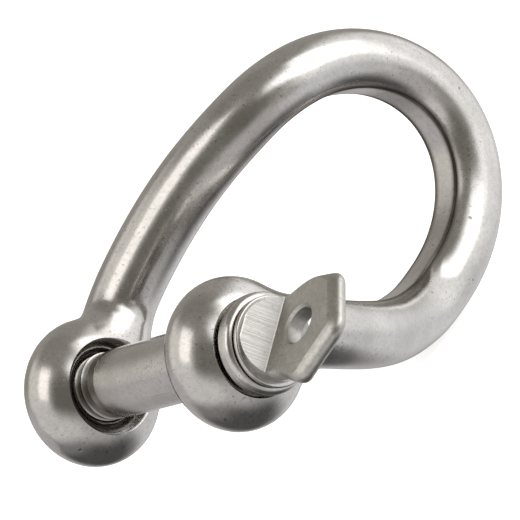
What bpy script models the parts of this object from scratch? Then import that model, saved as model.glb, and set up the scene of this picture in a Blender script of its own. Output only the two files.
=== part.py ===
"""A twisted bow shackle with a screw pin: the bow, the pin and the collar ring on the pin.

+X runs along the pin towards its head, +Y from the pin to the crown, and the origin is on the pin's
axis midway between the eyes. The crown is turned almost a quarter turn about Y from the plane of the eyes.
"""

from math import ceil, cos, pi, radians, sin, sqrt, tan

import bmesh
import bpy
from mathutils import Vector

# Bow: centreline, bar and twist (metres and radians).
BAR_R = 0.0040
JAW_HALF_WIDTH = 0.0107
CROWN_HALF_WIDTH = 0.01535
CROWN_CENTRE_Y = 0.0345
CROWN_RISE = 0.0193
CROWN_ARC_START = -0.143
LEG_FLARE = radians(22.3)
LEG_PULL_AT_EYE = 0.415
LEG_PULL_AT_CROWN = 0.688
LEG_STRAIGHT = 0.0120
TWIST = radians(87.5)
TWIST_START_Y = -0.0013
TWIST_END_Y = 0.0390
INNER_FLAT_DEPTH = 0.00054
LEG_ROOT_SWELL = 0.0003
LEG_START_R = 0.0026

# Eyes: two flattened balls with a countersunk mouth on each side.
EYE_WALL = 0.0044
EYE_HALF_LENGTH = 0.0039
EYE_EDGE_ROUND = 0.0015
MOUTH_FLARE = 0.00116
MOUTH_DEPTH = 0.0011

# Pin: plain shank, thread and chamfers.
PIN_R = 0.0040
THREAD_RELIEF = 0.00008
THREAD_PITCH = 0.00125
THREAD_DEPTH_PER_PITCH = 0.6134
THREAD_CREST_PER_PITCH = 0.125
THREAD_FLANK_ANGLE = radians(30)
FIRST_CREST_PAST_SHANK = 0.0021
PIN_CHAMFER = 0.0006
PIN_END_STEP = 0.0006
SHANK_END_IN_JAW = 0.0019

# Collar, shoulder and paddle of the pin's head.
TURNS_TO_SEAT = 0.5
COLLAR_WALL = 0.0014
COLLAR_WIDTH = 0.0022
COLLAR_ROUND = 0.0007
SHOULDER_STEP = 0.0011
SHOULDER_WIDTH = 0.0005
NECK_STEP = 0.0006
RAMP_LENGTH = 0.0017
PADDLE_LENGTH = 0.0128
PADDLE_HALF_WIDTH = 0.0063
PADDLE_THICKNESS = 0.0023
PADDLE_CORNER_R = 0.0016
PADDLE_TIP_R = 0.0030
PADDLE_TIP_SLOPE = radians(33)
PADDLE_RIM_ROUND = 0.0007
PADDLE_TURN = radians(31)
LANYARD_HOLE_R = 0.0021
LANYARD_HOLE_FROM_RAMP = 0.0040

# Fits.
BORE_CLEARANCE = 0.0002
THREAD_CLEARANCE = 0.0002
COLLAR_CLEARANCE = 0.0003
SEAT_CLEARANCE = 0.00005

# How finely the round shapes are divided, and how far helpers overlap or run past.
BAR_SIDES = 20
LEG_STEPS = 13
CROWN_STEPS = 21
ROUND_SIDES = 36
THREAD_SIDES = 24
EYE_STEPS = 12
CORNER_STEPS = 6
HOLE_SIDES = 28
PAST = 0.0040
NECK_SINK = 0.0001

# Sizes and places that follow from the ones above.
BORE_R = PIN_R + BORE_CLEARANCE
EYE_R = BORE_R + EYE_WALL
EYE_BULGE = EYE_HALF_LENGTH + EYE_EDGE_ROUND
EYE_X = JAW_HALF_WIDTH + EYE_HALF_LENGTH
EYE_OUTER_X = EYE_X + EYE_HALF_LENGTH
MOUTH_R = BORE_R + MOUTH_FLARE
THREAD_R = PIN_R - THREAD_RELIEF
THREAD_ROOT_R = THREAD_R - THREAD_DEPTH_PER_PITCH * THREAD_PITCH
TAPPED_R = THREAD_ROOT_R + THREAD_CLEARANCE
PIN_END_X = -EYE_OUTER_X + PIN_END_STEP
SHANK_END_X = -JAW_HALF_WIDTH + SHANK_END_IN_JAW
THREAD_CREST_X = SHANK_END_X - FIRST_CREST_PAST_SHANK
COLLAR_BORE_R = PIN_R + COLLAR_CLEARANCE
COLLAR_R = COLLAR_BORE_R + COLLAR_WALL
COLLAR_X = EYE_OUTER_X + TURNS_TO_SEAT * THREAD_PITCH + SEAT_CLEARANCE
RELIEF_R = COLLAR_R + COLLAR_CLEARANCE
SHOULDER_X = COLLAR_X + COLLAR_WIDTH + COLLAR_CLEARANCE
SHOULDER_R = PIN_R + SHOULDER_STEP
NECK_R = PIN_R + NECK_STEP
RAMP_X = SHOULDER_X + SHOULDER_WIDTH
PADDLE_X = RAMP_X + RAMP_LENGTH
PADDLE_TIP_X = RAMP_X + PADDLE_LENGTH
LANYARD_HOLE_X = PADDLE_X + LANYARD_HOLE_FROM_RAMP


def clear_scene():
    for obj in list(bpy.data.objects):
        bpy.data.objects.remove(obj, do_unlink=True)


def make_material(name, colour, roughness):
    material = bpy.data.materials.new(name)
    material.use_nodes = True
    shader = material.node_tree.nodes["Principled BSDF"]
    shader.inputs["Base Color"].default_value = (*colour, 1.0)
    shader.inputs["Metallic"].default_value = 1.0
    shader.inputs["Roughness"].default_value = roughness
    return material


def bow_material():
    return make_material("bow_steel", (0.62, 0.60, 0.57), 0.28)


def pin_material():
    return make_material("pin_steel", (0.60, 0.58, 0.55), 0.30)


def collar_material():
    return make_material("collar_steel", (0.64, 0.62, 0.59), 0.25)


def new_object(name, points, faces):
    """An object at the origin from points and faces, with its faces pointing out."""
    mesh = bpy.data.meshes.new(name)
    mesh.from_pydata([tuple(p) for p in points], [], faces)
    obj = bpy.data.objects.new(name, mesh)
    bpy.context.scene.collection.objects.link(obj)
    shell = bmesh.new()
    shell.from_mesh(mesh)
    bmesh.ops.recalc_face_normals(shell, faces=shell.faces)
    shell.to_mesh(mesh)
    shell.free()
    return obj


def finish(obj, material):
    obj.data.materials.append(material)
    obj.data.shade_smooth()
    obj.data.set_sharp_from_angle(angle=radians(40))


def helper(obj):
    """Keeps a cutter or an added shape out of the finished parts."""
    obj.hide_render = True
    obj.display_type = "WIRE"
    return obj


def combine(obj, other, operation):
    modifier = obj.modifiers.new(other.name, "BOOLEAN")
    modifier.operation = operation
    modifier.solver = "EXACT"
    modifier.object = helper(other)


def around_x(x, radius, angle):
    return Vector((x, radius * cos(angle), radius * sin(angle)))


def turned(name, profile, sides=ROUND_SIDES):
    """A solid turned about the X axis. The profile is (x, radius) pairs, and its ends lie on the axis."""
    rings = profile[1:-1]
    points = [around_x(profile[0][0], 0, 0), around_x(profile[-1][0], 0, 0)]
    for x, radius in rings:
        points += [around_x(x, radius, 2 * pi * i / sides) for i in range(sides)]
    faces = []
    for i in range(sides):
        j = (i + 1) % sides
        faces.append((0, 2 + i, 2 + j))
        for k in range(len(rings) - 1):
            a, b = 2 + k * sides, 2 + (k + 1) * sides
            faces.append((a + i, b + i, b + j, a + j))
        last = 2 + (len(rings) - 1) * sides
        faces.append((1, last + j, last + i))
    return new_object(name, points, faces)


def threaded_bar(name, start_x, end_x, root_r, crest_r):
    """A right-hand thread about X that covers start_x to end_x. Four rows of points make up each turn."""
    crest = THREAD_CREST_PER_PITCH * THREAD_PITCH / 2
    root = crest + (crest_r - root_r) * tan(THREAD_FLANK_ANGLE)
    rows = [(-root, root_r), (-crest, crest_r), (crest, crest_r), (root, root_r)]
    per_turn = len(rows)
    first_turn = ceil((THREAD_CREST_X - start_x) / THREAD_PITCH) + 2
    turns = first_turn + ceil((end_x - THREAD_CREST_X) / THREAD_PITCH) + 2
    points = []
    for turn in range(-first_turn, turns - first_turn + 1):
        for offset, radius in rows:
            for i in range(THREAD_SIDES):
                x = THREAD_CREST_X + offset + THREAD_PITCH * (turn + i / THREAD_SIDES)
                points.append(around_x(x, radius, 2 * pi * i / THREAD_SIDES))

    def index(row, i):
        return (row + per_turn * (i // THREAD_SIDES)) * THREAD_SIDES + i % THREAD_SIDES

    last = turns * per_turn - 1
    faces = []
    for row in range(last):
        for i in range(THREAD_SIDES):
            faces.append((index(row, i), index(row + 1, i), index(row + 1, i + 1), index(row, i + 1)))
    for row in (0, last):
        rim = [index(row, i) for i in range(THREAD_SIDES)]
        rim += [index(row + step, 0) for step in range(per_turn, 0, -1)]
        middle_x = sum(points[i].x for i in rim) / len(rim)
        points.append(Vector((middle_x, 0, 0)))
        for a, b in zip(rim, rim[1:] + rim[:1]):
            faces.append((a, b, len(points) - 1))
    return new_object(name, points, faces)


def smoothstep(value):
    value = min(max(value, 0.0), 1.0)
    return value * value * (3 - 2 * value)


def bezier(p0, p1, p2, p3, t):
    s = 1 - t
    return s**3 * p0 + 3 * s * s * t * p1 + 3 * s * t * t * p2 + t**3 * p3


def flat_centreline():
    """The bow's centreline before it is twisted, as (across, along) from the eye at +X over the crown."""
    eye = Vector((EYE_X, 0))
    leave = Vector((sin(LEG_FLARE), cos(LEG_FLARE)))
    start = CROWN_ARC_START
    join = Vector((CROWN_HALF_WIDTH * cos(start), CROWN_CENTRE_Y + CROWN_RISE * sin(start)))
    arrive = Vector((-CROWN_HALF_WIDTH * sin(start), CROWN_RISE * cos(start))).normalized()
    chord = (join - eye).length
    near = eye + leave * chord * LEG_PULL_AT_EYE
    far = join - arrive * chord * LEG_PULL_AT_CROWN
    leg = [bezier(eye, near, far, join, i / LEG_STEPS) for i in range(LEG_STEPS)]
    for p in leg:
        p.x = EYE_X + (p.x - EYE_X) * smoothstep(p.y / LEG_STRAIGHT)
    sweep = pi - 2 * start
    crown = []
    for i in range(CROWN_STEPS + 1):
        angle = start + sweep * i / CROWN_STEPS
        crown.append(Vector((CROWN_HALF_WIDTH * cos(angle), CROWN_CENTRE_Y + CROWN_RISE * sin(angle))))
    return leg + crown + [Vector((-p.x, p.y)) for p in reversed(leg)]


def twist_at(along):
    return TWIST * smoothstep((along - TWIST_START_Y) / (TWIST_END_Y - TWIST_START_Y))


def bar_section(centre, tangent, from_eye):
    """The points around the bar at one place. Its narrow flat faces the inside of the crown's plane."""
    across = Vector((-1, 0, 0))
    side = (across - tangent * across.dot(tangent)).normalized()
    outward = side.cross(tangent)
    root = 1 - smoothstep((from_eye - EYE_R) / BAR_R)
    radius = BAR_R + LEG_ROOT_SWELL * root
    radius = LEG_START_R + (radius - LEG_START_R) * smoothstep(from_eye / EYE_R)
    innermost = radius - INNER_FLAT_DEPTH * (1 - root)
    points = []
    for i in range(BAR_SIDES):
        angle = 2 * pi * (i + 0.5) / BAR_SIDES
        reach = max(radius * cos(angle), -innermost)
        points.append(centre + outward * reach + side * radius * sin(angle))
    return points


def bow_bar():
    """The round bar from the middle of one eye, over the crown, to the middle of the other."""
    flat = flat_centreline()
    path = []
    for p in flat:
        twist = twist_at(p.y)
        path.append(Vector((p.x * cos(twist), p.y, -p.x * sin(twist))))
    last = len(path) - 1
    points = []
    for i, centre in enumerate(path):
        tangent = (path[min(i + 1, last)] - path[max(i - 1, 0)]).normalized()
        from_eye = min((centre - path[0]).length, (centre - path[last]).length)
        points += bar_section(centre, tangent, from_eye)
    faces = [tuple(range(BAR_SIDES)), tuple(range(last * BAR_SIDES, (last + 1) * BAR_SIDES))]
    for k in range(last):
        a, b = k * BAR_SIDES, (k + 1) * BAR_SIDES
        for i in range(BAR_SIDES):
            j = (i + 1) % BAR_SIDES
            faces.append((a + i, a + j, b + j, b + i))
    return new_object("bow_body", points, faces)


def eye_ball(name, centre_x):
    """A ball flattened along the pin, with a flat face on each side."""
    profile = [(centre_x - EYE_HALF_LENGTH, 0)]
    for i in range(EYE_STEPS + 1):
        x = EYE_HALF_LENGTH * (2 * i / EYE_STEPS - 1)
        profile.append((centre_x + x, EYE_R * sqrt(1 - (x / EYE_BULGE) ** 2)))
    profile.append((centre_x + EYE_HALF_LENGTH, 0))
    return turned(name, profile)


def mouth_cutter(name, centre_x, bore_r):
    """Cuts a bore through an eye, a countersunk mouth at each face, and room for the collar past them."""
    half = EYE_HALF_LENGTH
    steps = [(0, half + PAST), (RELIEF_R, half + PAST), (RELIEF_R, half), (MOUTH_R, half)]
    steps.append((bore_r, half - MOUTH_DEPTH))
    profile = [(centre_x - x, radius) for radius, x in steps]
    profile += [(centre_x + x, radius) for radius, x in reversed(steps)]
    return turned(name, profile)


def make_bow():
    bow = bow_bar()
    combine(bow, eye_ball("near_eye", EYE_X), "UNION")
    combine(bow, eye_ball("far_eye", -EYE_X), "UNION")
    combine(bow, mouth_cutter("plain_bore", EYE_X, BORE_R), "DIFFERENCE")
    combine(bow, mouth_cutter("tapping_bore", -EYE_X, TAPPED_R), "DIFFERENCE")
    tap_root = TAPPED_R - THREAD_CLEARANCE / 2
    tap = threaded_bar("tap", -EYE_OUTER_X, -JAW_HALF_WIDTH, tap_root, THREAD_R + THREAD_CLEARANCE)
    combine(bow, tap, "DIFFERENCE")
    finish(bow, bow_material())


def pin_thread():
    """The thread, cut to length with a chamfer at each end."""
    thread = threaded_bar("pin_thread", PIN_END_X, SHANK_END_X, THREAD_ROOT_R, THREAD_R)
    full = THREAD_R + THREAD_CLEARANCE
    low = THREAD_ROOT_R - THREAD_CLEARANCE
    rise = full - low
    start, end = PIN_END_X, SHANK_END_X - PIN_CHAMFER / 2
    profile = [(start, 0), (start, low), (start + rise, full), (end - rise, full), (end, low), (end, 0)]
    combine(thread, turned("thread_length", profile), "INTERSECT")
    return thread


def pin_shank():
    """The turned part of the pin: thread core, shank and shoulder ring."""
    core = THREAD_ROOT_R - THREAD_CLEARANCE / 2
    shank = SHANK_END_X + PIN_CHAMFER
    profile = [
        (PIN_END_X + PIN_CHAMFER / 2, 0),
        (PIN_END_X + PIN_CHAMFER / 2, core),
        (SHANK_END_X, core),
        (shank, PIN_R),
        (SHOULDER_X, PIN_R),
        (SHOULDER_X, SHOULDER_R),
        (RAMP_X, SHOULDER_R),
        (RAMP_X, 0),
    ]
    return turned("screw_pin", profile)


def arc(centre, radius, first, last, steps):
    """Points on an arc about centre, an (x, across) pair, between two angles."""
    angles = [first + (last - first) * i / steps for i in range(steps + 1)]
    return [Vector((centre[0] + radius * cos(a), centre[1] + radius * sin(a))) for a in angles]


def paddle_outline(start_x):
    """The paddle's upper half as (x, across): a blunt tip, a rounded corner, then a flare to the neck."""
    slope, steps = PADDLE_TIP_SLOPE, CORNER_STEPS
    outward = Vector((cos(slope), sin(slope)))
    along_edge = Vector((-sin(slope), cos(slope)))
    tip = Vector((PADDLE_TIP_X - PADDLE_TIP_R, 0))
    corner = tip + outward * (PADDLE_TIP_R - PADDLE_CORNER_R)
    rise = PADDLE_HALF_WIDTH - PADDLE_CORNER_R - corner.y
    corner += along_edge * (rise / along_edge.y)
    outline = arc(tip, PADDLE_TIP_R, 0, slope, steps)
    outline += arc(corner, PADDLE_CORNER_R, slope, pi / 2, steps)
    shoulder = outline[-1]
    for i in range(1, steps + 1):
        share = i / steps
        x = shoulder.x + (start_x - shoulder.x) * share
        outline.append(Vector((x, shoulder.y + (NECK_R - shoulder.y) * share * share)))
    return outline


def in_head(x, across, off):
    """A point of the paddle: across lies in its plane, off is along its normal."""
    turn = PADDLE_TURN
    return Vector((x, across * cos(turn) - off * sin(turn), across * sin(turn) + off * cos(turn)))


def prism(name, outline, place):
    """A closed outline carried from place(-1) to place(+1)."""
    count = len(outline)
    points = [place(p, side) for side in (-1, 1) for p in outline]
    faces = [tuple(range(count)), tuple(range(count, 2 * count))]
    for i in range(count):
        j = (i + 1) % count
        faces.append((i, j, count + j, count + i))
    return new_object(name, points, faces)


def ramped_neck():
    """The round neck between shoulder and paddle, milled to a slope on both faces."""
    thin = PADDLE_THICKNESS / 2
    slope = (NECK_R - thin) / RAMP_LENGTH
    start_x, end_x = RAMP_X - SHOULDER_WIDTH / 2, PADDLE_X + NECK_SINK / slope
    radius = NECK_R - NECK_SINK
    neck = turned("neck", [(start_x, 0), (start_x, radius), (end_x, radius), (end_x, 0)])
    start_off = thin + slope * (PADDLE_X - start_x + PAST)
    end_off = thin - NECK_SINK
    outline = [(start_x - PAST, -start_off), (end_x, -end_off), (end_x + PAST, -end_off)]
    outline += [(x, -off) for x, off in reversed(outline)]

    def place(point, side):
        return in_head(point[0], side * 2 * NECK_R, point[1])

    combine(neck, prism("ramps", outline, place), "INTERSECT")
    return neck


def paddle_plate():
    """The flat paddle with its rounded rim and its hole for a lanyard."""
    upper = paddle_outline(RAMP_X + PADDLE_RIM_ROUND)
    outline = upper + [Vector((p.x, -p.y)) for p in reversed(upper[1:])]

    def place(point, side):
        return in_head(point.x, point.y, side * PADDLE_THICKNESS / 2)

    plate = prism("paddle", outline, place)
    bevel = plate.modifiers.new("rim", "BEVEL")
    bevel.width = PADDLE_RIM_ROUND
    bevel.segments = 3
    bevel.limit_method = "ANGLE"
    bevel.angle_limit = radians(60)
    return plate


def lanyard_drill():
    """A round cutter through the middle of the paddle, along its normal."""
    last = 2 * pi * (HOLE_SIDES - 1) / HOLE_SIDES
    outline = arc((LANYARD_HOLE_X, 0), LANYARD_HOLE_R, 0, last, HOLE_SIDES - 1)

    def place(point, side):
        return in_head(point.x, point.y, side * PADDLE_THICKNESS)

    return prism("lanyard_hole", outline, place)


def make_pin():
    pin = pin_shank()
    combine(pin, pin_thread(), "UNION")
    combine(pin, ramped_neck(), "UNION")
    combine(pin, paddle_plate(), "UNION")
    combine(pin, lanyard_drill(), "DIFFERENCE")
    finish(pin, pin_material())


def make_collar():
    """The ring between the eye and the pin's shoulder, with rounded outer edges."""
    profile = [(COLLAR_X, COLLAR_BORE_R), (COLLAR_X, COLLAR_R - COLLAR_ROUND)]
    for i in range(1, 4):
        angle = pi / 2 * i / 3
        x = COLLAR_X + COLLAR_ROUND * (1 - cos(angle))
        profile.append((x, COLLAR_R - COLLAR_ROUND * (1 - sin(angle))))
    profile += [(2 * COLLAR_X + COLLAR_WIDTH - x, radius) for x, radius in reversed(profile)]
    count = len(profile)
    points = []
    for i in range(ROUND_SIDES):
        points += [around_x(x, radius, 2 * pi * i / ROUND_SIDES) for x, radius in profile]
    faces = []
    for i in range(ROUND_SIDES):
        a, b = i * count, (i + 1) % ROUND_SIDES * count
        for k in range(count):
            n = (k + 1) % count
            faces.append((a + k, a + n, b + n, b + k))
    finish(new_object("pin_collar", points, faces), collar_material())


clear_scene()
make_bow()
make_pin()
make_collar()
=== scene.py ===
"""The looks of the twisted bow shackle: its polished bow, screw pin and collar ring.

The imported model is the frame: +X runs along the pin towards its head and +Y from the pin to the crown.
Sizes here are in millimetres, and MM turns them into metres. The three pieces are in the frame's places.
"""

from math import ceil, cos, pi, radians, sin, tan

import bmesh
import bpy
import numpy as np
from mathutils import Matrix, Vector


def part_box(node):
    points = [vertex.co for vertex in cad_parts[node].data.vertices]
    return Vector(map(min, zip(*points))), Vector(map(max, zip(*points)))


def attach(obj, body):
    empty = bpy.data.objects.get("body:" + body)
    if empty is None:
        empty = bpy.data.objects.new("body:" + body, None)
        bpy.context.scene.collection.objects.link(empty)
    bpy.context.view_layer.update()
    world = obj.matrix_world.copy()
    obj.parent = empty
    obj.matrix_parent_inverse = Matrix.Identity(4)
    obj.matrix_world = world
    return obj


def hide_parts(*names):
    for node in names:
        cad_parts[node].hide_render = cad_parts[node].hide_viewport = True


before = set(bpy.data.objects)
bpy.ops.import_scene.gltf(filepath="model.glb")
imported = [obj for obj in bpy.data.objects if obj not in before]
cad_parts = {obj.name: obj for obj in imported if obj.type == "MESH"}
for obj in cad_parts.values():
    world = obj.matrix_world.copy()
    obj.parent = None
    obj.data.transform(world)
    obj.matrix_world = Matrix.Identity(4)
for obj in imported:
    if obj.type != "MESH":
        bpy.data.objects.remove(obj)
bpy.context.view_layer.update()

MM = 0.001


def node_box(node):
    """The lowest and highest corner of a node of the frame, in millimetres."""
    low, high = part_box(node)
    return low / MM, high / MM


PIN_LOW, PIN_HIGH = node_box("screw_pin")
COLLAR_LOW, COLLAR_HIGH = node_box("pin_collar")

# Bow: its centreline, its bar and its twist. The crown ends up almost in the YZ plane.
BAR_R = 4.0
PIN_END_STEP = 0.6
EYE_OUTER_X = PIN_END_STEP - PIN_LOW.x
EYE_HALF_LENGTH = 3.9
EYE_X = EYE_OUTER_X - EYE_HALF_LENGTH
CROWN_HALF_WIDTH = 15.35
CROWN_CENTRE_Y = 34.5
CROWN_RISE = 19.3
CROWN_ARC_START = -0.143
LEG_FLARE = radians(22.3)
LEG_PULL_AT_EYE = 0.415
LEG_PULL_AT_CROWN = 0.688
LEG_STRAIGHT = 12.0
TWIST = radians(87.5)
TWIST_START_Y = -1.3
TWIST_END_Y = 39.0
LEG_START_R = 2.6
LEG_ROOT_SWELL = 0.15
INNER_FLAT_DEPTH = 0.54
CREASE_DEPTH = 0.2
CREASE_HALF_ANGLE = radians(3.2)
# Painted shade: a dark brown colour along the creases, on the far leg's flat up to a length from the eye,
# and in the mouths.
SHADE_HALF_ANGLE = radians(7)
SHADED_LEG = 30.0
SHADE_REACH = 1.5
MOUTH_SHADE = 0.75
LEAST_FLAT_ANGLE = radians(14)

# Eyes: balls flattened along the pin, with a countersunk mouth on each side. The relief past a mouth is
# (further along, wider), and so is the small edge of the shank below.
EYE_R = 8.62
EYE_BULGE = 5.4
EYE_DROP = (-0.12, -0.2)
EYE_BLEND = 2.4
MOUTH_DEPTH = 1.1
MOUTH_FLARE = 1.16
MOUTH_EDGE = 0.14
MOUTH_EDGE_SLOPE = 2.2
MOUTH_EDGE_PAST = 0.06
MOUTH_RELIEF = (1.5, 0.9)
MOUTH_PAST = 3.0
BORE_R = 4.2

# Pin.
PIN_R = 4.0
THREAD_PITCH = 1.25
THREAD_R = 3.92
THREAD_ROOT_R = THREAD_R - 0.6134 * THREAD_PITCH
THREAD_CREST = 0.125 * THREAD_PITCH
THREAD_FLANK = radians(30)
THREAD_CLEARANCE = 0.2
SHANK_END_X = 1.9 - (EYE_X - EYE_HALF_LENGTH)
FIRST_CREST_X = SHANK_END_X - 1.3
PIN_CHAMFER = 0.6
SHANK_EDGE = (0.12, 0.05)
PIN_END_X = PIN_LOW.x
CORE_SINK = 0.1
CORE_END_STEP = 0.3
THREAD_PAST = 0.2

# Collar ring and head.
COLLAR_R = COLLAR_HIGH.y
COLLAR_BORE_R = PIN_R + 0.3
COLLAR_ROUND = 0.75
COLLAR_EDGE = 0.15
SHOULDER_X = COLLAR_HIGH.x + 0.3
SHOULDER_R = 5.1
SHOULDER_WIDTH = 0.5
SHOULDER_ROUND = 0.22
SHOULDER_PAST = 0.1
NECK_R = 4.6
NECK_START = 0.2
NECK_PAST = 0.3
RAMP_X = SHOULDER_X + SHOULDER_WIDTH
RAMP_LENGTH = 1.7
RAMP_SAG = 0.22
PADDLE_X = RAMP_X + RAMP_LENGTH
PADDLE_TIP_X = PIN_HIGH.x - 0.3
PADDLE_HALF_WIDTH = 6.3
PADDLE_THICKNESS = 2.3
PADDLE_CORNER_R = 1.7
PADDLE_TIP_R = 2.6
PADDLE_FLARE = 1.4
PADDLE_TIP_SLOPE = radians(31)
PADDLE_RIM_AT_TIP = 1.2
PADDLE_RIM_AT_SIDE = 0.45
PADDLE_RIM_SWING = radians(55)
PADDLE_RIM_WIDENS = (4.5, 3.5)  # starts this far past the ramps, and takes this long
PADDLE_TURN = radians(31)
PADDLE_LEAN = radians(-9)
PADDLE_SHIFT = 0.6
PADDLE_ROOT = 0.7
PADDLE_SINK = 0.17
HOLE_R = 2.1
HOLE_EDGE = 0.3
HOLE_X = PADDLE_X + 4.0

# How finely the shapes are divided.
PATH_STEP = 0.1
PATH_SOFTEN = 12
EYE_REACH = 17.0
EYE_ROW = 0.22
BAR_ROW = 0.5
POLE_ROWS = 36
FLAT_SIDES = 10
ROUND_SIDES = 78
ROUND_STEPS = 10
PADDLE_STEPS = 12
HOLE_SIDES = 96
RAY_STEP = 0.1
RAY_REACH = 12.0
TURNED_SIDES = 160
NECK_SIDES = 131
THREAD_SIDES = 72


def smoothstep(value):
    value = np.clip(value, 0.0, 1.0)
    return value * value * (3 - 2 * value)


def new_object(name, points, faces):
    """An object from points in millimetres and faces, with its faces pointing out."""
    mesh = bpy.data.meshes.new(name)
    mesh.from_pydata([tuple(float(c) * MM for c in p) for p in points], [], faces)
    obj = bpy.data.objects.new(name, mesh)
    bpy.context.scene.collection.objects.link(obj)
    shell = bmesh.new()
    shell.from_mesh(mesh)
    bmesh.ops.recalc_face_normals(shell, faces=shell.faces)
    shell.to_mesh(mesh)
    shell.free()
    return obj


def combine(obj, other, operation):
    """Adds other to obj, or cuts it away, and removes it."""
    modifier = obj.modifiers.new(operation, "BOOLEAN")
    modifier.operation = operation
    modifier.solver = "EXACT"
    modifier.object = other
    graph = bpy.context.evaluated_depsgraph_get()
    mesh = bpy.data.meshes.new_from_object(obj.evaluated_get(graph))
    old = obj.data
    obj.modifiers.clear()
    obj.data = mesh
    mesh.name = obj.name
    bpy.data.meshes.remove(old)
    bpy.data.objects.remove(other, do_unlink=True)


def finish_piece(obj, body, node, material, sharp):
    obj.data.materials.clear()
    obj.data.materials.append(material)
    obj.data.shade_smooth()
    obj.data.set_sharp_from_angle(angle=sharp)
    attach(obj, body)
    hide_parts(node)


def around_x(x, radius, angle):
    return (x, radius * cos(angle), radius * sin(angle))


def turned(name, profile, sides=TURNED_SIDES):
    """A solid turned about the X axis. The profile is (x, radius) pairs, and its ends lie on the axis."""
    rings = profile[1:-1]
    points = [(profile[0][0], 0, 0), (profile[-1][0], 0, 0)]
    for x, radius in rings:
        points += [around_x(x, radius, 2 * pi * i / sides) for i in range(sides)]
    faces = []
    last = 2 + (len(rings) - 1) * sides
    for i in range(sides):
        j = (i + 1) % sides
        faces.append((0, 2 + i, 2 + j))
        faces.append((1, last + j, last + i))
        for k in range(len(rings) - 1):
            a, b = 2 + k * sides, 2 + (k + 1) * sides
            faces.append((a + i, b + i, b + j, a + j))
    return new_object(name, points, faces)


def threaded_bar(name, start_x, end_x, root_r, crest_r):
    """A right-hand thread about X that covers start_x to end_x. Four rows of points make up each turn."""
    crest = THREAD_CREST / 2
    root = crest + (crest_r - root_r) * tan(THREAD_FLANK)
    rows = [(-root, root_r), (-crest, crest_r), (crest, crest_r), (root, root_r)]
    per_turn = len(rows)
    first_turn = ceil((FIRST_CREST_X - start_x) / THREAD_PITCH) + 2
    turns = first_turn + ceil((end_x - FIRST_CREST_X) / THREAD_PITCH) + 2
    points = []
    for turn in range(-first_turn, turns - first_turn + 1):
        for offset, radius in rows:
            for i in range(THREAD_SIDES):
                x = FIRST_CREST_X + offset + THREAD_PITCH * (turn + i / THREAD_SIDES)
                points.append(around_x(x, radius, 2 * pi * i / THREAD_SIDES))

    def index(row, i):
        return (row + per_turn * (i // THREAD_SIDES)) * THREAD_SIDES + i % THREAD_SIDES

    last = turns * per_turn - 1
    faces = []
    for row in range(last):
        for i in range(THREAD_SIDES):
            faces.append((index(row, i), index(row + 1, i), index(row + 1, i + 1), index(row, i + 1)))
    for row in (0, last):
        rim = [index(row, i) for i in range(THREAD_SIDES)]
        rim += [index(row + step, 0) for step in range(per_turn, 0, -1)]
        middle_x = sum(points[i][0] for i in rim) / len(rim)
        points.append((middle_x, 0, 0))
        for a, b in zip(rim, rim[1:] + rim[:1]):
            faces.append((a, b, len(points) - 1))
    return new_object(name, points, faces)


# ---- Bow ----

def flat_centreline():
    """The centreline before it is twisted, as (across, along) rows from the eye at +X over the crown."""
    eye = np.array((EYE_X, 0.0))
    leave = np.array((sin(LEG_FLARE), cos(LEG_FLARE)))
    start = CROWN_ARC_START
    join = np.array((CROWN_HALF_WIDTH * cos(start), CROWN_CENTRE_Y + CROWN_RISE * sin(start)))
    arrive = np.array((-CROWN_HALF_WIDTH * sin(start), CROWN_RISE * cos(start)))
    arrive /= np.linalg.norm(arrive)
    chord = np.linalg.norm(join - eye)
    near = eye + leave * chord * LEG_PULL_AT_EYE
    far = join - arrive * chord * LEG_PULL_AT_CROWN
    t = np.linspace(0, 1, 500, endpoint=False)[:, None]
    s = 1 - t
    leg = s**3 * eye + 3 * s * s * t * near + 3 * s * t * t * far + t**3 * join
    leg[:, 0] = EYE_X + (leg[:, 0] - EYE_X) * smoothstep(leg[:, 1] / LEG_STRAIGHT)
    angle = np.linspace(start, pi - start, 1000)
    crown = np.stack((CROWN_HALF_WIDTH * np.cos(angle), CROWN_CENTRE_Y + CROWN_RISE * np.sin(angle)), 1)
    return np.concatenate((leg, crown, leg[::-1] * (-1, 1)))


def twist_at(along):
    return TWIST * smoothstep((along - TWIST_START_Y) / (TWIST_END_Y - TWIST_START_Y))


def resampled(points, step):
    """The same curve with points at equal steps along it."""
    run = np.concatenate(([0], np.cumsum(np.linalg.norm(np.diff(points, axis=0), axis=1))))
    at = np.linspace(0, run[-1], ceil(run[-1] / step) + 1)
    return np.stack([np.interp(at, run, column) for column in points.T], 1)


def bow_path():
    """The twisted centreline at equal steps. It runs straight on through both eyes and past them."""
    flat = flat_centreline()
    turn = twist_at(flat[:, 1])
    path = np.stack((flat[:, 0] * np.cos(turn), flat[:, 1], -flat[:, 0] * np.sin(turn)), 1)
    path = resampled(path, PATH_STEP)
    count = ceil(EYE_REACH / PATH_STEP)
    run_on = np.arange(count, 0, -1)[:, None]
    before = path[0] + (path[0] - path[1]) * run_on
    after = path[-1] + (path[-1] - path[-2]) * run_on[::-1]
    path = np.concatenate((before, path, after))
    weight = np.exp(-0.5 * (np.arange(-3 * PATH_SOFTEN, 3 * PATH_SOFTEN + 1) / PATH_SOFTEN) ** 2)
    weight /= weight.sum()
    padded = np.pad(path, ((3 * PATH_SOFTEN, 3 * PATH_SOFTEN), (0, 0)), mode="reflect", reflect_type="odd")
    soft = np.stack([np.convolve(column, weight, mode="valid") for column in padded.T], 1)
    return soft, count


def eye_distance(points, centre):
    """How far points are outside the ball of an eye, about."""
    size = np.array((EYE_BULGE, EYE_R, EYE_R))
    q = (points - centre) / size
    k0 = np.linalg.norm(q, axis=-1)
    k1 = np.linalg.norm(q / size, axis=-1)
    return k0 * (k0 - 1) / np.maximum(k1, 1e-6)


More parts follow.
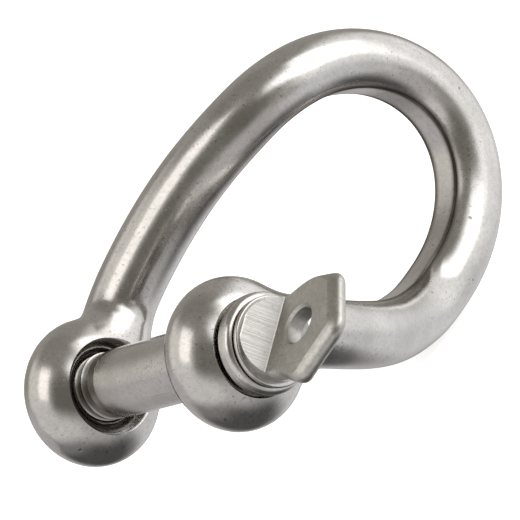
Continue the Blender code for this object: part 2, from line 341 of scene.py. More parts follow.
def soft_least(a, b, width):
    """The lesser of a and b, with a smooth valley where they are nearly equal."""
    share = np.clip(0.5 + 0.5 * (b - a) / width, 0, 1)
    return b + (a - b) * share - width * share * (1 - share)


def section_angles(half_angle):
    """The angles of one section's points. Rows of points lie on both creases and just beside them."""
    side = CREASE_HALF_ANGLE
    flat = np.linspace(-(half_angle - side), half_angle - side, FLAT_SIDES + 1)
    rounded = np.linspace(half_angle + side, 2 * pi - half_angle - side, ROUND_SIDES + 1)
    return pi + np.concatenate((flat, [half_angle], rounded, [2 * pi - half_angle]))


def set_painted_shade(obj, amounts):
    """How much painted shade each point gets, for the steel's material."""
    painted_shade = obj.data.attributes.new("painted_shade", "FLOAT", "POINT")
    painted_shade.data.foreach_set("value", amounts)


def make_bow_surface():
    """The bar and both balls as one skin: rows of points around the centreline, from pole to pole."""
    path, run_on = bow_path()
    tangents = np.gradient(path, axis=0)
    tangents /= np.linalg.norm(tangents, axis=1)[:, None]
    length = (len(path) - 1) * PATH_STEP
    near, far = run_on * PATH_STEP, length - run_on * PATH_STEP
    pole = EYE_R * np.sin(np.linspace(pi / 2, 0, POLE_ROWS, endpoint=False)[1:])
    reach = np.arange(0, EYE_REACH, EYE_ROW)
    bar = np.linspace(near + EYE_REACH, far - EYE_REACH, ceil((far - near - 2 * EYE_REACH) / BAR_ROW))
    rows = np.concatenate((near - pole, near + reach, bar, (far - reach)[::-1], (far + pole)[::-1]))
    eyes = np.array(((EYE_X, *EYE_DROP), (-EYE_X, *EYE_DROP)))
    rays = np.arange(RAY_STEP, RAY_REACH, RAY_STEP)
    points = []
    shades = []
    for run in rows:
        at = run / PATH_STEP
        low = min(int(at), len(path) - 2)
        centre = path[low] + (path[low + 1] - path[low]) * (at - low)
        tangent = tangents[low] + (tangents[low + 1] - tangents[low]) * (at - low)
        tangent /= np.linalg.norm(tangent)
        first = run < length / 2
        from_eye = run - near if first else far - run
        across = np.array((-1.0, 0, 0))
        side = across - tangent * across.dot(tangent)
        side /= np.linalg.norm(side)
        outward = np.cross(side, tangent)
        root = 1 - float(smoothstep((from_eye - EYE_R) / BAR_R))
        radius = BAR_R + LEG_ROOT_SWELL * root
        radius = LEG_START_R + (radius - LEG_START_R) * float(smoothstep(from_eye / EYE_R))
        depth = INNER_FLAT_DEPTH * (1 - root)
        half_angle = np.arccos(1 - depth / radius)
        angles = section_angles(max(half_angle, LEAST_FLAT_ANGLE))
        off = np.abs((angles % (2 * pi)) - pi)
        reach_of = np.where(off < half_angle, (radius - depth) / np.cos(off), radius)
        crease = np.clip(1 - np.abs(off - half_angle) / CREASE_HALF_ANGLE, 0, 1)
        reach_of = reach_of - CREASE_DEPTH * (1 - root) * crease
        directions = np.outer(np.cos(angles), outward) + np.outer(np.sin(angles), side)
        if from_eye < EYE_REACH:
            eye = eyes[0] if first else eyes[1]
            samples = centre + directions[:, None] * rays[None, :, None]
            gap = eye_distance(samples, eye)
            if from_eye > 0:
                gap = soft_least(gap, rays[None, :] - reach_of[:, None], EYE_BLEND)
            outside = np.argmax(gap > 0, axis=1)
            index = np.maximum(outside, 1)
            pick = np.arange(len(angles))
            inner, outer = gap[pick, index - 1], gap[pick, index]
            share = np.clip(inner / (inner - outer), -1, 1)
            reach_of = rays[index - 1] + RAY_STEP * share
        points.append(centre + directions * reach_of[:, None])
        # Painted shade along the creases and on the far leg's flat, fading out towards the eyes.
        by_crease = np.clip(SHADE_REACH - np.abs(off - half_angle) / SHADE_HALF_ANGLE, 0, 1)
        leg_shade = 0 if first else float(smoothstep((SHADED_LEG - from_eye) / BAR_R))
        on_flat = leg_shade * np.clip((half_angle - off) / CREASE_HALF_ANGLE, 0, 1)
        shades.append((1 - root) * np.maximum(by_crease, on_flat))
    sides = len(points[0])
    skin = np.concatenate(points + [[path_point(path, near - EYE_R)], [path_point(path, far + EYE_R)]])
    first_pole, last_pole = len(skin) - 2, len(skin) - 1
    faces = []
    for k in range(len(rows) - 1):
        for i in range(sides):
            j = (i + 1) % sides
            faces.append((k * sides + i, k * sides + j, (k + 1) * sides + j, (k + 1) * sides + i))
    end = (len(rows) - 1) * sides
    for i in range(sides):
        j = (i + 1) % sides
        faces.append((first_pole, j, i))
        faces.append((last_pole, end + i, end + j))
    bow = new_object("bow_surface", skin, faces)
    set_painted_shade(bow, np.concatenate(shades + [np.zeros(2)]))
    return bow


def path_point(path, run):
    at = run / PATH_STEP
    low = int(at)
    return path[low] + (path[low + 1] - path[low]) * (at - low)


def mouth_profile(bore_r):
    """One side of an eye's bore, as (distance from the eye's middle, radius): bore, cone, broken edge."""
    slope = MOUTH_FLARE / MOUTH_DEPTH
    cone_x, cone_r = EYE_HALF_LENGTH - MOUTH_DEPTH, BORE_R
    edge_r = cone_r + MOUTH_FLARE + MOUTH_EDGE_PAST
    edge_x = cone_x + (edge_r - cone_r) / slope
    out_r = edge_r + MOUTH_EDGE_SLOPE * MOUTH_EDGE
    relief_x, relief_r = edge_x + MOUTH_RELIEF[0], out_r + MOUTH_RELIEF[1]
    past_x = EYE_HALF_LENGTH + MOUTH_PAST
    return [(cone_x - (BORE_R - bore_r) / slope, bore_r), (edge_x, edge_r), (edge_x + MOUTH_EDGE, out_r),
            (relief_x, relief_r), (past_x, relief_r), (past_x, 0)]


def mouth_cutter(name, centre_x, bore_r):
    half = mouth_profile(bore_r)
    profile = [(centre_x - x, radius) for x, radius in reversed(half)]
    profile += [(centre_x + x, radius) for x, radius in half]
    cutter = turned(name, profile)
    # The faces this cutter leaves in the mouth carry painted shade.
    set_painted_shade(cutter, np.full(len(cutter.data.vertices), MOUTH_SHADE))
    return cutter


def make_bow(material):
    bow = make_bow_surface()
    tapped_r = THREAD_ROOT_R + THREAD_CLEARANCE
    combine(bow, mouth_cutter("plain_bore", EYE_X, BORE_R), "DIFFERENCE")
    combine(bow, mouth_cutter("tapping_bore", -EYE_X, tapped_r), "DIFFERENCE")
    tap_end = -(EYE_X - EYE_HALF_LENGTH)
    tap = threaded_bar("tap", -EYE_OUTER_X, tap_end, tapped_r - CORE_SINK, THREAD_R + THREAD_CLEARANCE)
    # The tapped thread in the far eye carries painted shade too.
    set_painted_shade(tap, np.full(len(tap.data.vertices), MOUTH_SHADE))
    combine(bow, tap, "DIFFERENCE")
    finish_piece(bow, "bow", "bow_body", material, radians(28))


# ---- Collar ring ----

def rounded_ring(low, high, radius, corner):
    """(x, radius) pairs over a ring's outside, with both corners rounded."""
    points = []
    for i in range(ROUND_STEPS + 1):
        angle = pi / 2 * i / ROUND_STEPS
        points.append((low + corner * (1 - cos(angle)), radius - corner * (1 - sin(angle))))
    return points + [(low + high - x, r) for x, r in reversed(points)]


def make_collar(material):
    """The ring between the near eye and the pin's shoulder: rounded outside, with broken bore edges."""
    low, high = COLLAR_LOW.x, COLLAR_HIGH.x
    profile = [(low + COLLAR_EDGE, COLLAR_BORE_R), (low, COLLAR_BORE_R + COLLAR_EDGE)]
    profile += rounded_ring(low, high, COLLAR_R, COLLAR_ROUND)
    profile += [(high, COLLAR_BORE_R + COLLAR_EDGE), (high - COLLAR_EDGE, COLLAR_BORE_R)]
    count = len(profile)
    points = []
    for i in range(TURNED_SIDES):
        points += [around_x(x, radius, 2 * pi * i / TURNED_SIDES) for x, radius in profile]
    faces = []
    for i in range(TURNED_SIDES):
        a, b = i * count, (i + 1) % TURNED_SIDES * count
        for k in range(count):
            n = (k + 1) % count
            faces.append((a + k, a + n, b + n, b + k))
    collar = new_object("collar_surface", points, faces)
    finish_piece(collar, "collar", "pin_collar", material, radians(28))


# ---- Pin ----

def pin_shank():
    """The turned part of the pin: thread core, chamfer, shank and shoulder ring."""
    core = THREAD_ROOT_R - CORE_SINK
    core_x = PIN_END_X + CORE_END_STEP
    edge_x = SHANK_END_X + PIN_CHAMFER
    end_x = RAMP_X + SHOULDER_PAST
    profile = [(core_x, 0), (core_x, core), (SHANK_END_X, core)]
    profile += [(edge_x, PIN_R - SHANK_EDGE[1]), (edge_x + SHANK_EDGE[0], PIN_R), (SHOULDER_X, PIN_R)]
    profile += rounded_ring(SHOULDER_X, end_x, SHOULDER_R, SHOULDER_ROUND)
    profile += [(end_x, 0)]
    return turned("pin_surface", profile)


def pin_thread():
    thread = threaded_bar("pin_thread", PIN_END_X, SHANK_END_X, THREAD_ROOT_R, THREAD_R)
    full, low = THREAD_R + THREAD_PAST, THREAD_ROOT_R - THREAD_PAST
    rise = full - low
    start, end = PIN_END_X, SHANK_END_X - PIN_CHAMFER / 2
    profile = [(start, 0), (start, low), (start + rise, full), (end - rise, full), (end, low), (end, 0)]
    combine(thread, turned("thread_length", profile), "INTERSECT")
    return thread


def in_head(x, across, off):
    """A point of the head: across lies in the paddle's plane, off is along its normal."""
    turn = PADDLE_TURN
    return (x, across * cos(turn) - off * sin(turn), across * sin(turn) + off * cos(turn))


def prism(name, outline, place):
    """A closed outline carried from place(-1) to place(+1)."""
    count = len(outline)
    points = [place(p, side) for side in (-1, 1) for p in outline]
    faces = [tuple(range(count)), tuple(range(count, 2 * count))]
    for i in range(count):
        j = (i + 1) % count
        faces.append((i, j, count + j, count + i))
    return new_object(name, points, faces)


def ramped_neck():
    """The round neck, milled on both faces to a steep hollow ramp that runs down to the paddle."""
    thin = PADDLE_THICKNESS / 2
    start_x, end_x = RAMP_X - NECK_START, PADDLE_X + NECK_PAST
    neck_profile = [(start_x, 0), (start_x, NECK_R), (end_x, NECK_R), (end_x, 0)]
    neck = turned("neck", neck_profile, NECK_SIDES)
    steps = PADDLE_STEPS
    slope = (NECK_R + 0.1 - thin) / RAMP_LENGTH
    ramp = []
    for i in range(-6, steps + 1):
        share = i / steps
        x = RAMP_X + RAMP_LENGTH * share
        sag = RAMP_SAG * 4 * share * (1 - share)
        ramp.append((x, thin + slope * (PADDLE_X - x) - sag))
    ramp.append((end_x + 1, thin - 0.02))
    outline = [(x, -off) for x, off in ramp] + [(x, off) for x, off in reversed(ramp)]

    def place(point, side):
        return in_head(point[0], side * 2 * NECK_R, point[1])

    combine(neck, prism("ramps", outline, place), "INTERSECT")
    return neck


def arc(centre, radius, first, last, steps):
    angles = [first + (last - first) * i / steps for i in range(steps + 1)]
    return [Vector((centre[0] + radius * cos(a), centre[1] + radius * sin(a))) for a in angles]


def paddle_outline(start_x):
    """The paddle's upper half as (x, across): a blunt tip, a rounded corner, then a flare to the neck."""
    slope, steps = PADDLE_TIP_SLOPE, PADDLE_STEPS
    outward = Vector((cos(slope), sin(slope)))
    along_edge = Vector((-sin(slope), cos(slope)))
    tip = Vector((PADDLE_TIP_X - PADDLE_TIP_R, 0))
    corner = tip + outward * (PADDLE_TIP_R - PADDLE_CORNER_R)
    rise = PADDLE_HALF_WIDTH - PADDLE_CORNER_R - corner.y
    corner += along_edge * (rise / along_edge.y)
    outline = arc(tip, PADDLE_TIP_R, 0, slope, steps)
    outline += arc(corner, PADDLE_CORNER_R, slope, pi / 2, steps)
    shoulder = outline[-1]
    for i in range(1, 2 * steps + 1):
        share = i / (2 * steps)
        x = shoulder.x + (start_x - shoulder.x) * share
        outline.append(Vector((x, shoulder.y + (NECK_R - PADDLE_SINK - shoulder.y) * share ** PADDLE_FLARE)))
    return outline


def leaned(x, across):
    """Where a point of the paddle's outline lies: past the ramps, the blade leans and sits off the axis."""
    share = float(smoothstep((x - PADDLE_X) / (HOLE_X - PADDLE_X)))
    turn = PADDLE_LEAN * share
    ahead = x - HOLE_X
    x = HOLE_X + ahead * cos(turn) - across * sin(turn)
    return (x, PADDLE_SHIFT * share + ahead * sin(turn) + across * cos(turn))


def paddle_plate():
    """The paddle: flat faces, and a rounded rim that is wide at the tip and meets each face in a crease."""
    upper = paddle_outline(RAMP_X + PADDLE_ROOT)
    outline = upper + [Vector((p.x, -p.y)) for p in reversed(upper[1:])]
    outline = [Vector(leaned(p.x, p.y)) for p in outline]
    count = len(outline)
    thin = PADDLE_THICKNESS / 2
    steps = PADDLE_STEPS
    widens_at, widens_over = PADDLE_RIM_WIDENS
    rings = []
    inward = []
    for i, p in enumerate(outline):
        along = (outline[(i + 1) % count] - outline[i - 1]).normalized()
        inward.append(Vector((-along.y, along.x)))
    middle = sum(outline, Vector((0, 0))) / count
    if (middle - outline[0]).dot(inward[0]) < 0:
        inward = [-v for v in inward]
    for step in range(2 * steps + 1):
        swing = PADDLE_RIM_SWING * (step - steps) / steps
        ring = []
        for p, v in zip(outline, inward):
            share = float(smoothstep((p.x - PADDLE_X - widens_at) / widens_over))
            width = PADDLE_RIM_AT_SIDE + (PADDLE_RIM_AT_TIP - PADDLE_RIM_AT_SIDE) * share
            inset = width * (1 - cos(swing)) / (1 - cos(PADDLE_RIM_SWING))
            at = p + v * inset
            ring.append(in_head(at.x, at.y, thin * sin(swing) / sin(PADDLE_RIM_SWING)))
        rings.append(ring)
    points = [p for ring in rings for p in ring]
    faces = [tuple(range(count)), tuple(range(2 * steps * count, (2 * steps + 1) * count))]
    for k in range(2 * steps):
        a, b = k * count, (k + 1) * count
        for i in range(count):
            j = (i + 1) % count
            faces.append((a + i, a + j, b + j, b + i))
    return new_object("paddle", points, faces)


def lanyard_drill():
    """Cuts the paddle's hole, with a broken edge at each face."""
    thin, past, sides = PADDLE_THICKNESS / 2, 1.0, HOLE_SIDES
    edge_r = HOLE_R + HOLE_EDGE
    profile = [(-thin - past, edge_r + past), (-thin, edge_r), (-thin + HOLE_EDGE, HOLE_R)]
    profile += [(-off, radius) for off, radius in reversed(profile)]
    points = []
    for off, radius in profile:
        for i in range(sides):
            angle = 2 * pi * i / sides
            points.append(in_head(HOLE_X + radius * cos(angle), PADDLE_SHIFT + radius * sin(angle), off))
    faces = [tuple(range(sides)), tuple(range((len(profile) - 1) * sides, len(profile) * sides))]
    for k in range(len(profile) - 1):
        a, b = k * sides, (k + 1) * sides
        for i in range(sides):
            j = (i + 1) % sides
            faces.append((a + i, a + j, b + j, b + i))
    return new_object("lanyard_hole", points, faces)


def make_pin(material):
    pin = pin_shank()
    combine(pin, pin_thread(), "UNION")
    combine(pin, ramped_neck(), "UNION")
    paddle = paddle_plate()
    combine(paddle, lanyard_drill(), "DIFFERENCE")
    combine(pin, paddle, "UNION")
    finish_piece(pin, "pin", "screw_pin", material, radians(13))


# ---- Node helpers ----

def add_node(tree, kind, inputs=None, **settings):
    """A new node. Each input is a value, or the socket that it is linked from."""
    node = tree.nodes.new(kind)
    for name, value in settings.items():
        setattr(node, name, value)
    for name, value in (inputs or {}).items():
        if isinstance(value, bpy.types.NodeSocket):
            tree.links.new(value, node.inputs[name])
        else:
            node.inputs[name].default_value = value
    return node


def math_node(tree, operation, a, b=0.0):
    return add_node(tree, "ShaderNodeMath", {0: a, 1: b}, operation=operation).outputs[0]


def times(tree, a, b):
    return math_node(tree, "MULTIPLY", a, b)


def plus(tree, a, b):
    return math_node(tree, "ADD", a, b)


def dot(tree, vector, axis):
    inputs = {0: vector, 1: tuple(axis)}
    return add_node(tree, "ShaderNodeVectorMath", inputs, operation="DOT_PRODUCT").outputs["Value"]


def ramp(tree, value, low, high, to_low=0.0, to_high=1.0):
    """Carries value from low..high to to_low..to_high with soft ends, and clamps it."""
    inputs = {"Value": value, "From Min": low, "From Max": high, "To Min": to_low, "To Max": to_high}
    return add_node(tree, "ShaderNodeMapRange", inputs, interpolation_type="SMOOTHSTEP").outputs["Result"]


def mix_colour(tree, share, first, second, blend="MIX"):
    node = add_node(tree, "ShaderNodeMix", data_type="RGBA", blend_type=blend, clamp_factor=True)
    for socket, value in ((node.inputs[0], share), (node.inputs[6], first), (node.inputs[7], second)):
        if isinstance(value, bpy.types.NodeSocket):
            tree.links.new(value, socket)
        elif isinstance(value, tuple):
            socket.default_value = (*value, 1.0)
        else:
            socket.default_value = value
    return node.outputs[2]


def noise(tree, coords, scale, detail=2.0, roughness=0.5):
    inputs = {"Vector": coords, "Scale": scale, "Detail": detail, "Roughness": roughness}
    return add_node(tree, "ShaderNodeTexNoise", inputs).outputs["Fac"]


def streaks(tree, coords, turn, across, along, threshold):
    """Long thin marks: noise drawn out along one direction, with only its peaks kept."""
    inputs = {"Vector": coords, "Rotation": turn, "Scale": (along, across, across)}
    mapping = add_node(tree, "ShaderNodeMapping", inputs)
    peaks = noise(tree, mapping.outputs["Vector"], 1.0, 1.0)
    return ramp(tree, peaks, threshold, threshold + 0.05)


def bump(tree, height, distance, normal=None):
    inputs = {"Height": height, "Distance": distance}
    if normal is not None:
        inputs["Normal"] = normal
    return add_node(tree, "ShaderNodeBump", inputs).outputs["Normal"]


# ---- Materials ----

# Colours of what lies on the steel or dulls it, and of the painted shade in its creases and hollows.
SATIN_COLOUR = (0.42, 0.4, 0.37)
SPECK_COLOUR = (0.3, 0.28, 0.26)
SPOT_COLOUR = (0.2, 0.17, 0.15)
PIT_COLOUR = (0.16, 0.14, 0.12)
SCRATCH_COLOUR = (0.34, 0.32, 0.3)
# Painted shade, for the creases, mouths and thread roots.
PAINTED_SHADE_COLOUR = (0.1, 0.085, 0.07)
CUT_COLOUR = (0.38, 0.37, 0.35)
FACE_COLOUR = (0.4, 0.39, 0.34)
# Heights and depths of the relief.
DENT_HEIGHT = 0.05
GRAIN_HEIGHT = 0.0022
PIT_DEPTH = 0.02
CUT_DEPTH = 0.02
MOTTLE_HEIGHT = 0.012
# Noise scales, in features per metre.
CLOUD_SCALE = 130.0
DENT_SCALE = 210.0
PATCH_SCALE = 260.0
PIT_SCALE = 420.0
MOTTLE_SCALE = 1500.0
SATIN_SCALE = 1900.0
SPOT_SCALE = 2600.0
GRAIN_SCALE = 3600.0
SPECK_SCALE = 5200.0
CUT_SCALE_ALONG = 120.0
CUT_SCALE_ACROSS = 6500.0
CUT_TILT = 0.17
LARGEST_PIT = 0.09
PIT_RIM = 0.02
# Scratches: their direction as a turn, their scales across and along, and the noise level they start at.
LONG_SCRATCHES = ((0.3, 0.5, 1.2), 2600.0, 60.0, 0.7)
CROSS_SCRATCHES = ((1.1, 2.2, 0.4), 3200.0, 110.0, 0.71)


def pits_in(tree, coords):
    """Round hollows in about half of the cells, each of its own size."""
    cells = add_node(tree, "ShaderNodeTexVoronoi", {"Vector": coords, "Scale": PIT_SCALE}, feature="F1")
    chosen = ramp(tree, dot(tree, cells.outputs["Color"], (1, 0, 0)), 0.55, 0.56)
    size = dot(tree, cells.outputs["Color"], (0, LARGEST_PIT, 0))
    hollow = math_node(tree, "SUBTRACT", size, cells.outputs["Distance"])
    return times(tree, ramp(tree, hollow, -PIT_RIM, PIT_RIM), chosen)


def cutter_lines(tree, coords):
    """Fine lines that a milling cutter leaves along the pin, slightly aslant."""
    across = dot(tree, coords, (0, cos(PADDLE_TURN), sin(PADDLE_TURN)))
    along = dot(tree, coords, (1, 0, 0))
    aslant = plus(tree, across, times(tree, along, CUT_TILT))
    plan = {"X": times(tree, along, CUT_SCALE_ALONG), "Y": times(tree, aslant, CUT_SCALE_ACROSS)}
    return noise(tree, add_node(tree, "ShaderNodeCombineXYZ", plan).outputs[0], 1.0, 2.0)


def steel(name, dark, light, roughness, shaded=None, cut_mask=None, face_mask=None):
    """Satin-polished stainless steel: cloudy tone, fine grain, specks, pits and scratches.

    The first mask marks where dark brown shade is painted, in creases, mouths and thread roots; cut_mask
    marks milled surfaces, and face_mask marks matt ones.
    Each is a function of the node tree and its texture coordinates.
    """
    material = bpy.data.materials.new(name)
    material.use_nodes = True
    tree = material.node_tree
    shader = tree.nodes["Principled BSDF"]
    texture = add_node(tree, "ShaderNodeTexCoord")
    coords = texture.outputs["Object"]
    cloud = noise(tree, coords, CLOUD_SCALE, 4.0, 0.6)
    dents = noise(tree, coords, DENT_SCALE, 1.0)
    grain = noise(tree, coords, GRAIN_SCALE, 2.0, 0.7)
    specks = ramp(tree, noise(tree, coords, SPECK_SCALE, 1.0), 0.64, 0.74)
    patch = ramp(tree, noise(tree, coords, PATCH_SCALE, 2.0), 0.5, 0.62)
    spots = times(tree, ramp(tree, noise(tree, coords, SPOT_SCALE, 2.0), 0.63, 0.69), patch)
    pits = pits_in(tree, coords)
    long_scratches = streaks(tree, coords, *LONG_SCRATCHES)
    cross_scratches = streaks(tree, coords, *CROSS_SCRATCHES)
    scratches = math_node(tree, "MAXIMUM", long_scratches, cross_scratches)

    colour = mix_colour(tree, ramp(tree, cloud, 0.3, 0.7), dark, light)
    satin = noise(tree, coords, SATIN_SCALE, 3.0, 0.65)
    colour = mix_colour(tree, ramp(tree, satin, 0.4, 0.7, 0.0, 0.35), colour, SATIN_COLOUR)
    colour = mix_colour(tree, times(tree, specks, 0.35), colour, SPECK_COLOUR)
    colour = mix_colour(tree, times(tree, spots, 0.6), colour, SPOT_COLOUR)
    colour = mix_colour(tree, times(tree, pits, 0.6), colour, PIT_COLOUR)
    colour = mix_colour(tree, times(tree, scratches, 0.3), colour, SCRATCH_COLOUR)
    rough = ramp(tree, cloud, 0.25, 0.75, roughness - 0.03, roughness + 0.04)
    rough = plus(tree, rough, times(tree, grain, 0.06))
    rough = plus(tree, rough, times(tree, scratches, 0.15))

    normal = bump(tree, dents, DENT_HEIGHT * MM)
    normal = bump(tree, grain, GRAIN_HEIGHT * MM, normal)
    normal = bump(tree, times(tree, pits, -1.0), PIT_DEPTH * MM, normal)
    # Painted shade: the colour goes dark brown where the mask is set.
    if shaded is not None:
        painted_shade = times(tree, shaded(tree, texture), ramp(tree, cloud, 0.3, 0.6, 0.7, 1.0))
        colour = mix_colour(tree, painted_shade, colour, PAINTED_SHADE_COLOUR)
        rough = plus(tree, rough, times(tree, painted_shade, 0.15))
    if cut_mask is not None:
        cut = cut_mask(tree, texture)
        lines = cutter_lines(tree, coords)
        normal = bump(tree, times(tree, lines, cut), CUT_DEPTH * MM, normal)
        rough = plus(tree, rough, times(tree, cut, 0.1))
        dull = times(tree, cut, ramp(tree, lines, 0.35, 0.65, 0.3, 0.8))
        colour = mix_colour(tree, dull, colour, CUT_COLOUR)
    if face_mask is not None:
        face = face_mask(tree, texture)
        mottle = noise(tree, coords, MOTTLE_SCALE, 3.0, 0.7)
        normal = bump(tree, times(tree, mottle, face), MOTTLE_HEIGHT * MM, normal)
        dull = times(tree, face, ramp(tree, mottle, 0.38, 0.62, 0.1, 0.5))
        colour = mix_colour(tree, dull, colour, FACE_COLOUR)
        rough = plus(tree, rough, times(tree, face, 0.18))
    tree.links.new(colour, shader.inputs["Base Color"])
    tree.links.new(rough, shader.inputs["Roughness"])
    tree.links.new(normal, shader.inputs["Normal"])
    shader.inputs["Metallic"].default_value = 1.0
    return material


def shade_in_creases(tree, texture):
    """The painted shade that was set along the bow's creases, on the far leg's flat and in its mouths."""
    return add_node(tree, "ShaderNodeAttribute", attribute_name="painted_shade").outputs["Fac"]


def shade_in_thread_roots(tree, texture):
    """The thread's grooves and the undercut at the shank's end, where shade is painted."""
    coords = texture.outputs["Object"]
    x = dot(tree, coords, (1, 0, 0))
    inputs = {0: coords, 1: (0, 1, 1)}
    off_axis = add_node(tree, "ShaderNodeVectorMath", inputs, operation="MULTIPLY").outputs[0]
    radius = add_node(tree, "ShaderNodeVectorMath", {0: off_axis}, operation="LENGTH").outputs["Value"]
    shank_x = SHANK_END_X + PIN_CHAMFER
    before = ramp(tree, x, (shank_x + 0.1) * MM, (shank_x - 0.1) * MM)
    inside = ramp(tree, radius, (THREAD_R - 0.02) * MM, (THREAD_R - 0.3) * MM)
    return times(tree, before, inside)


def on_ramps(tree, texture):
    """The part of the pin between the shoulder and the paddle."""
    x = dot(tree, texture.outputs["Object"], (1, 0, 0))
    after = ramp(tree, x, (RAMP_X + 0.1) * MM, (RAMP_X + 0.2) * MM)
    before = ramp(tree, x, (PADDLE_X + 0.1) * MM, (PADDLE_X - 0.1) * MM)
    return times(tree, after, before)


def on_paddle(tree, texture):
    """The whole paddle, which is less polished than the rest."""
    x = dot(tree, texture.outputs["Object"], (1, 0, 0))
    return ramp(tree, x, PADDLE_X * MM, (PADDLE_X + 0.2) * MM)


# ---- Studio ----

CAMERA_DISTANCE = 470.4
TO_CAMERA = Vector((0.823, -0.522, 0.225))
IMAGE_RIGHT = Vector((0.549, 0.627, -0.554))
LENS = 290.0
SENSOR = 36.0
SUBJECT_RIGHT = 11.04
SUBJECT_UP = 12.54
NEAR_CLIP = 10.0
FAR_CLIP = 10000.0

# The floor lies just under the crown's lowest point.
FLOOR_HALF = 3000.0
FLOOR_Z = -19.6
FLOOR_GLOW = 0.68

# The studio around the shackle. Angles are in degrees, right and up from the direction of the camera.
CEILING = (0.4, 0.38, 0.35)
TABLE = (0.6, 0.58, 0.58)
BELOW = (0.3, 0.29, 0.29)
# Heights, as the sine of the angle up, between which one part of the surroundings goes over into the next.
TABLE_TO_CEILING = (-0.35, 0.0)
TABLE_TO_BELOW = (-0.65, -0.95)
# name: angle right, angle up, half width, half height, edge softness, colour
PANELS = {
    "side_wall": (110, 0, 50, 30, 0.4, (0.85, 0.85, 0.87)),
    "upper_right_cloth": (90, 40, 45, 35, 0.4, (1.2, 1.2, 1.2)),
    "upper_right_box": (40, 50, 30, 25, 0.15, (2.4, 2.4, 2.4)),
    "left_cloth": (-70, 10, 45, 30, 0.4, (0.95, 0.93, 0.88)),
    "lower_left_table": (-40, -35, 50, 30, 0.4, (0.85, 0.83, 0.82)),
    "upper_left_gap": (-50, 60, 40, 25, 0.5, (0.3, 0.29, 0.26)),
    "camera_gap": (0, 5, 30, 25, 0.5, (0.2, 0.19, 0.17)),
    "under_shackle": (130, -60, 40, 30, 0.5, (0.1, 0.1, 0.1)),
    "left_box": (-50, 15, 15, 20, 0.1, (1.7, 1.65, 1.6)),
}


def make_camera():
    """Looks at the shackle from beyond the pin's head, rolled as the shackle lies."""
    to_camera = TO_CAMERA.normalized()
    right = (IMAGE_RIGHT - to_camera * IMAGE_RIGHT.dot(to_camera)).normalized()
    place = to_camera * CAMERA_DISTANCE
    aim = right * SUBJECT_RIGHT + to_camera.cross(right) * SUBJECT_UP
    back = (place - aim).normalized()
    right = (right - back * right.dot(back)).normalized()
    camera = bpy.data.objects.new("camera", bpy.data.cameras.new("camera"))
    bpy.context.scene.collection.objects.link(camera)
    camera.data.lens = LENS
    camera.data.sensor_width = SENSOR
    camera.data.clip_start = NEAR_CLIP * MM
    camera.data.clip_end = FAR_CLIP * MM
    turn = Matrix((right, back.cross(right), back)).transposed().to_4x4()
    camera.matrix_world = Matrix.Translation(place * MM) @ turn
    bpy.context.scene.camera = camera


def make_floor():
    """A pale floor, so bright that its shadow is faint. The steel mirrors the studio and not the floor."""
    mesh = bpy.data.meshes.new("floor")
    half, z = FLOOR_HALF * MM, FLOOR_Z * MM
    corners = [(-half, -half, z), (half, -half, z), (half, half, z), (-half, half, z)]
    mesh.from_pydata(corners, [], [(0, 1, 2, 3)])
    floor = bpy.data.objects.new("floor", mesh)
    bpy.context.scene.collection.objects.link(floor)
    material = bpy.data.materials.new("floor_white")
    material.use_nodes = True
    shader = material.node_tree.nodes["Principled BSDF"]
    shader.inputs["Base Color"].default_value = (0.9, 0.9, 0.9, 1)
    shader.inputs["Roughness"].default_value = 0.9
    shader.inputs["Specular IOR Level"].default_value = 0.0
    shader.inputs["Emission Color"].default_value = (1, 1, 1, 1)
    shader.inputs["Emission Strength"].default_value = FLOOR_GLOW
    mesh.materials.append(material)
    floor.visible_glossy = False


def studio_axes(angle_right, angle_up):
    """The forward, right and up axes of a panel that faces the shackle from an angle beside the camera."""
    toward = TO_CAMERA.normalized()
    right = (IMAGE_RIGHT - toward * IMAGE_RIGHT.dot(toward)).normalized()
    up = toward.cross(right)
    a, b = radians(angle_right), radians(angle_up)
    level = toward * cos(a) + right * sin(a)
    forward = level * cos(b) + up * sin(b)
    side = right * cos(a) - toward * sin(a)
    return forward, side, forward.cross(side)


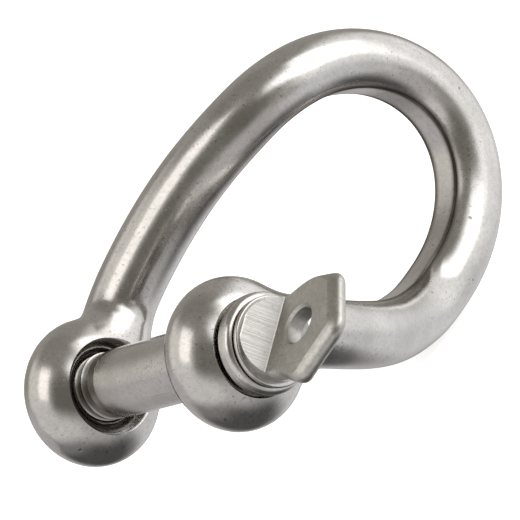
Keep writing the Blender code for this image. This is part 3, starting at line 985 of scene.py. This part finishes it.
def panel_mask(tree, direction, panel):
    """One on the panel and nothing off it, with a soft edge."""
    angle_right, angle_up, half_width, half_height, softness = panel[:5]
    forward, side, up = studio_axes(angle_right, angle_up)
    ahead = dot(tree, direction, forward)
    mask = ramp(tree, ahead, 0.0, 0.1)
    ahead = math_node(tree, "MAXIMUM", ahead, 0.02)
    for axis, half in ((side, tan(radians(half_width))), (up, tan(radians(half_height)))):
        off = math_node(tree, "ABSOLUTE", math_node(tree, "DIVIDE", dot(tree, direction, axis), ahead))
        mask = times(tree, mask, ramp(tree, off, half * (1 + softness), half * (1 - softness)))
    return mask


def make_world():
    """The studio that the steel mirrors: a ceiling, a table and soft panels. The camera sees plain white."""
    world = bpy.data.worlds.new("studio")
    bpy.context.scene.world = world
    world.use_nodes = True
    tree = world.node_tree
    direction = add_node(tree, "ShaderNodeTexCoord").outputs["Generated"]
    height = dot(tree, direction, studio_axes(0, 0)[2])
    colour = mix_colour(tree, ramp(tree, height, *TABLE_TO_CEILING), TABLE, CEILING)
    colour = mix_colour(tree, ramp(tree, height, *TABLE_TO_BELOW), colour, BELOW)
    for panel in PANELS.values():
        colour = mix_colour(tree, panel_mask(tree, direction, panel), colour, panel[5])
    seen = add_node(tree, "ShaderNodeLightPath").outputs["Is Camera Ray"]
    colour = mix_colour(tree, seen, colour, (1.0, 1.0, 1.0))
    tree.links.new(colour, tree.nodes["Background"].inputs["Color"])


bow_steel = steel("bow_steel", (0.53, 0.515, 0.493), (0.66, 0.642, 0.622), 0.16, shade_in_creases)
# The first of the pin's masks paints shade into its thread roots.
pin_masks = (shade_in_thread_roots, on_ramps, on_paddle)
pin_steel = steel("pin_steel", (0.53, 0.515, 0.49), (0.63, 0.612, 0.588), 0.17, *pin_masks)
collar_steel = steel("collar_steel", (0.56, 0.545, 0.52), (0.67, 0.652, 0.63), 0.16)
make_bow(bow_steel)
make_collar(collar_steel)
make_pin(pin_steel)
make_camera()
make_floor()
make_world()
bpy.context.scene.view_settings.view_transform = "Standard"
